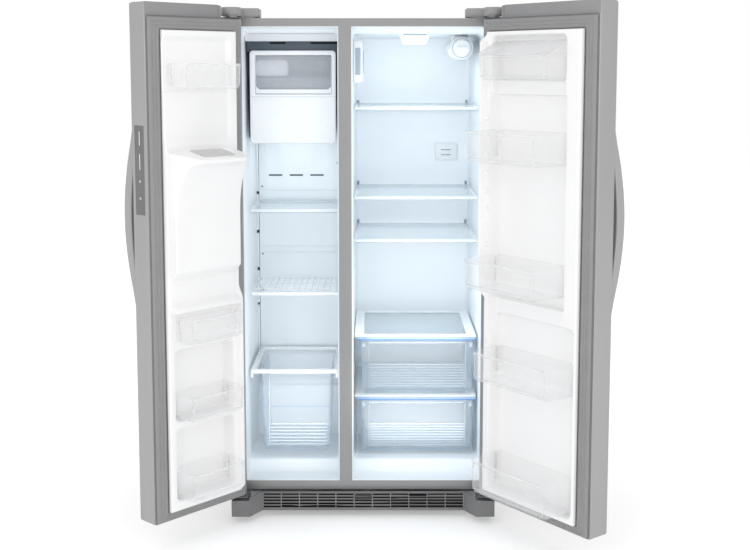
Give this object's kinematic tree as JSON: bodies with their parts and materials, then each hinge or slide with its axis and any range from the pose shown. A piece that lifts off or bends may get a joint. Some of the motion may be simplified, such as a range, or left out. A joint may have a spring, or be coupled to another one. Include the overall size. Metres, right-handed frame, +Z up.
{
  "type": "side by side refrigerator",
  "caption": "Side by side refrigerator with both doors open on a white interior: shelves, drawers, door bins, ice bin and a door dispenser.",
  "frame": {"origin": "on the floor, under the middle of the whole object with its doors open as stored", "axes": "+Z up, doors and grille face -Y, +X is the fresh food side"},
  "size_m": [1.588, 1.1891, 1.7726],
  "materials": {
    "stainless": "fine vertical brush, satin",
    "grey_paint": "satin grey, light orange peel",
    "gasket_grey": "matt ribbed seal",
    "white_liner": "smooth white, soft gloss",
    "clear_plastic": "clear crystal plastic, polished",
    "shelf_glass": "tempered glass with a white printed edge and clear trims",
    "dark_plastic": "fine matt texture",
    "zinc_steel": "zinc plated sheet, dull",
    "lamp_lens": "frosted, lit from inside",
    "rubber": "matt black"
  },
  "bodies": {
    "cabinet": {"base_pan": "zinc_steel", "cabinet_wrapper": "grey_paint", "compressor": "dark_plastic", "crisper_cover": "shelf_glass", "evaporator": "zinc_steel", "evaporator_cover": "white_liner", "filter_housing": "white_liner", "freezer_bin_frame": "white_liner", "freezer_bottom_hinge": "zinc_steel", "freezer_hinge_cover": "grey_paint", "freezer_liner": "white_liner", "freezer_top_hinge": "zinc_steel", "fridge_bottom_hinge": "zinc_steel", "fridge_hinge_cover": "grey_paint", "fridge_liner": "white_liner", "fridge_top_hinge": "zinc_steel", "front_frame": "grey_paint", "ice_maker": "white_liner", "lamp_lens": "lamp_lens", "lower_crisper_cover": "shelf_glass", "machine_cover": "zinc_steel", "toe_grille": "grey_paint"},
    "freezer_door": {"freezer_door_shell": "stainless", "freezer_door_liner": "white_liner", "freezer_door_gasket": "gasket_grey", "freezer_door_handle": "stainless", "dispenser_housing": "dark_plastic", "control_panel": "dark_plastic"},
    "fridge_door": {"fridge_door_shell": "stainless", "fridge_door_liner": "white_liner", "fridge_door_gasket": "gasket_grey", "fridge_door_handle": "stainless", "dairy_bin": "clear_plastic"},
    "evaporator_fan": {"evaporator_fan": "dark_plastic"},
    "rear_roller_left": {"rear_roller_left": "rubber"},
    "rear_roller_right": {"rear_roller_right": "rubber"},
    "leveling_foot_left": {"leveling_foot_left": "rubber"},
    "leveling_foot_right": {"leveling_foot_right": "rubber"},
    "filter_cartridge": {"filter_cartridge": "white_liner"},
    "glass_shelf_top": {"glass_shelf_top": "shelf_glass"},
    "glass_shelf_middle": {"glass_shelf_middle": "shelf_glass"},
    "glass_shelf_low": {"glass_shelf_low": "shelf_glass"},
    "crisper_drawer_upper": {"crisper_drawer_upper": "clear_plastic"},
    "crisper_drawer_lower": {"crisper_drawer_lower": "clear_plastic"},
    "freezer_shelf": {"freezer_shelf": "shelf_glass"},
    "wire_shelf": {"wire_shelf": "white_liner"},
    "freezer_bin": {"freezer_bin": "clear_plastic"},
    "ice_bin": {"ice_bin": "white_liner"},
    "dispenser_paddle": {"dispenser_paddle": "dark_plastic"},
    "panel_key_1": {"panel_key_1": "grey_paint"},
    "panel_key_2": {"panel_key_2": "grey_paint"},
    "dairy_cover": {"dairy_cover": "clear_plastic"},
    "freezer_door_bin_top": {"freezer_door_bin_top": "clear_plastic"},
    "freezer_door_bin_upper": {"freezer_door_bin_upper": "clear_plastic"},
    "freezer_door_bin_middle": {"freezer_door_bin_middle": "clear_plastic"},
    "freezer_door_bin_bottom": {"freezer_door_bin_bottom": "clear_plastic"},
    "fridge_door_bin_upper": {"fridge_door_bin_upper": "clear_plastic"},
    "fridge_door_bin_middle": {"fridge_door_bin_middle": "clear_plastic"},
    "fridge_door_bin_lower": {"fridge_door_bin_lower": "clear_plastic"},
    "fridge_door_bin_bottom": {"fridge_door_bin_bottom": "clear_plastic"}
  },
  "joints": [
    {"name": "freezer_door_swing", "type": "hinge", "parent": "cabinet", "child": "freezer_door", "pos_m": [-0.4651, -0.1589, 0.9], "axis": [0, 0, -1], "range_deg": [-132.94, 0]},
    {"name": "fridge_door_swing", "type": "hinge", "parent": "cabinet", "child": "fridge_door", "pos_m": [0.4119, -0.1589, 0.9], "axis": [0, 0, 1], "range_deg": [-127.51, 5.4]},
    {"name": "glass_shelf_top_slide", "type": "slide", "parent": "cabinet", "child": "glass_shelf_top", "axis": [0, -1, 0], "range_m": [0, 0.15]},
    {"name": "glass_shelf_middle_slide", "type": "slide", "parent": "cabinet", "child": "glass_shelf_middle", "axis": [0, -1, 0], "range_m": [0, 0.15]},
    {"name": "glass_shelf_low_slide", "type": "slide", "parent": "cabinet", "child": "glass_shelf_low", "axis": [0, -1, 0], "range_m": [0, 0.15]},
    {"name": "crisper_drawer_upper_slide", "type": "slide", "parent": "cabinet", "child": "crisper_drawer_upper", "axis": [0, -1, 0], "range_m": [0, 0.22]},
    {"name": "crisper_drawer_lower_slide", "type": "slide", "parent": "cabinet", "child": "crisper_drawer_lower", "axis": [0, -1, 0], "range_m": [0, 0.22]},
    {"name": "freezer_shelf_slide", "type": "slide", "parent": "cabinet", "child": "freezer_shelf", "axis": [0, -1, 0], "range_m": [0, 0.15]},
    {"name": "wire_shelf_slide", "type": "slide", "parent": "cabinet", "child": "wire_shelf", "axis": [0, -1, 0], "range_m": [0, 0.15]},
    {"name": "freezer_bin_slide", "type": "slide", "parent": "cabinet", "child": "freezer_bin", "axis": [0, -1, 0], "range_m": [0, 0.19]},
    {"name": "ice_bin_slide", "type": "slide", "parent": "cabinet", "child": "ice_bin", "axis": [0, -1, 0], "range_m": [0, 0.19]},
    {"name": "evaporator_fan_spin", "type": "hinge", "parent": "cabinet", "child": "evaporator_fan", "pos_m": [-0.2731, 0.4068, 0.96], "axis": [0, 1, 0], "continuous": true},
    {"name": "filter_turn", "type": "hinge", "parent": "cabinet", "child": "filter_cartridge", "pos_m": [0.3224, 0.1868, 1.6395], "axis": [0, 1, 0], "range_deg": [0, 90]},
    {"name": "leveling_foot_left_turn", "type": "hinge", "parent": "cabinet", "child": "leveling_foot_left", "pos_m": [-0.4266, -0.0532, 0.03], "axis": [0, 0, 1], "continuous": true},
    {"name": "rear_roller_left_spin", "type": "hinge", "parent": "cabinet", "child": "rear_roller_left", "pos_m": [-0.4266, 0.5068, 0.022], "axis": [1, 0, 0], "continuous": true},
    {"name": "leveling_foot_right_turn", "type": "hinge", "parent": "cabinet", "child": "leveling_foot_right", "pos_m": [0.3734, -0.0532, 0.03], "axis": [0, 0, 1], "continuous": true},
    {"name": "rear_roller_right_spin", "type": "hinge", "parent": "cabinet", "child": "rear_roller_right", "pos_m": [0.3734, 0.5068, 0.022], "axis": [1, 0, 0], "continuous": true},
    {"name": "freezer_door_bin_top_lift", "type": "slide", "parent": "freezer_door", "child": "freezer_door_bin_top", "axis": [0, 0, 1], "range_m": [0, 0.03]},
    {"name": "freezer_door_bin_upper_lift", "type": "slide", "parent": "freezer_door", "child": "freezer_door_bin_upper", "axis": [0, 0, 1], "range_m": [0, 0.01]},
    {"name": "freezer_door_bin_middle_lift", "type": "slide", "parent": "freezer_door", "child": "freezer_door_bin_middle", "axis": [0, 0, 1], "range_m": [0, 0.03]},
    {"name": "freezer_door_bin_bottom_lift", "type": "slide", "parent": "freezer_door", "child": "freezer_door_bin_bottom", "axis": [0, 0, 1], "range_m": [0, 0.03]},
    {"name": "fridge_door_bin_upper_lift", "type": "slide", "parent": "fridge_door", "child": "fridge_door_bin_upper", "axis": [0, 0, 1], "range_m": [0, 0.03]},
    {"name": "fridge_door_bin_middle_lift", "type": "slide", "parent": "fridge_door", "child": "fridge_door_bin_middle", "axis": [0, 0, 1], "range_m": [0, 0.03]},
    {"name": "fridge_door_bin_lower_lift", "type": "slide", "parent": "fridge_door", "child": "fridge_door_bin_lower", "axis": [0, 0, 1], "range_m": [0, 0.03]},
    {"name": "fridge_door_bin_bottom_lift", "type": "slide", "parent": "fridge_door", "child": "fridge_door_bin_bottom", "axis": [0, 0, 1], "range_m": [0, 0.03]},
    {"name": "dairy_cover_flip", "type": "hinge", "parent": "fridge_door", "child": "dairy_cover", "pos_m": [0.51052, -0.36243, 1.654], "axis": [-0.6089, 0.7932, 0], "range_deg": [0, 58]},
    {"name": "dispenser_paddle_push", "type": "hinge", "parent": "freezer_door", "child": "dispenser_paddle", "pos_m": [-0.55914, -0.3241, 1.103], "axis": [-0.6812, -0.7321, 0], "range_deg": [0, 12], "stiffness_Nm_per_rad": 0.4},
    {"name": "panel_key_1_press", "type": "slide", "parent": "freezer_door", "child": "panel_key_1", "axis": [0.6812, 0.7321, 0], "range_m": [0, 0.0006], "stiffness_N_per_m": 800},
    {"name": "panel_key_2_press", "type": "slide", "parent": "freezer_door", "child": "panel_key_2", "axis": [0.6812, 0.7321, 0], "range_m": [0, 0.0006], "stiffness_N_per_m": 800}
  ]
}
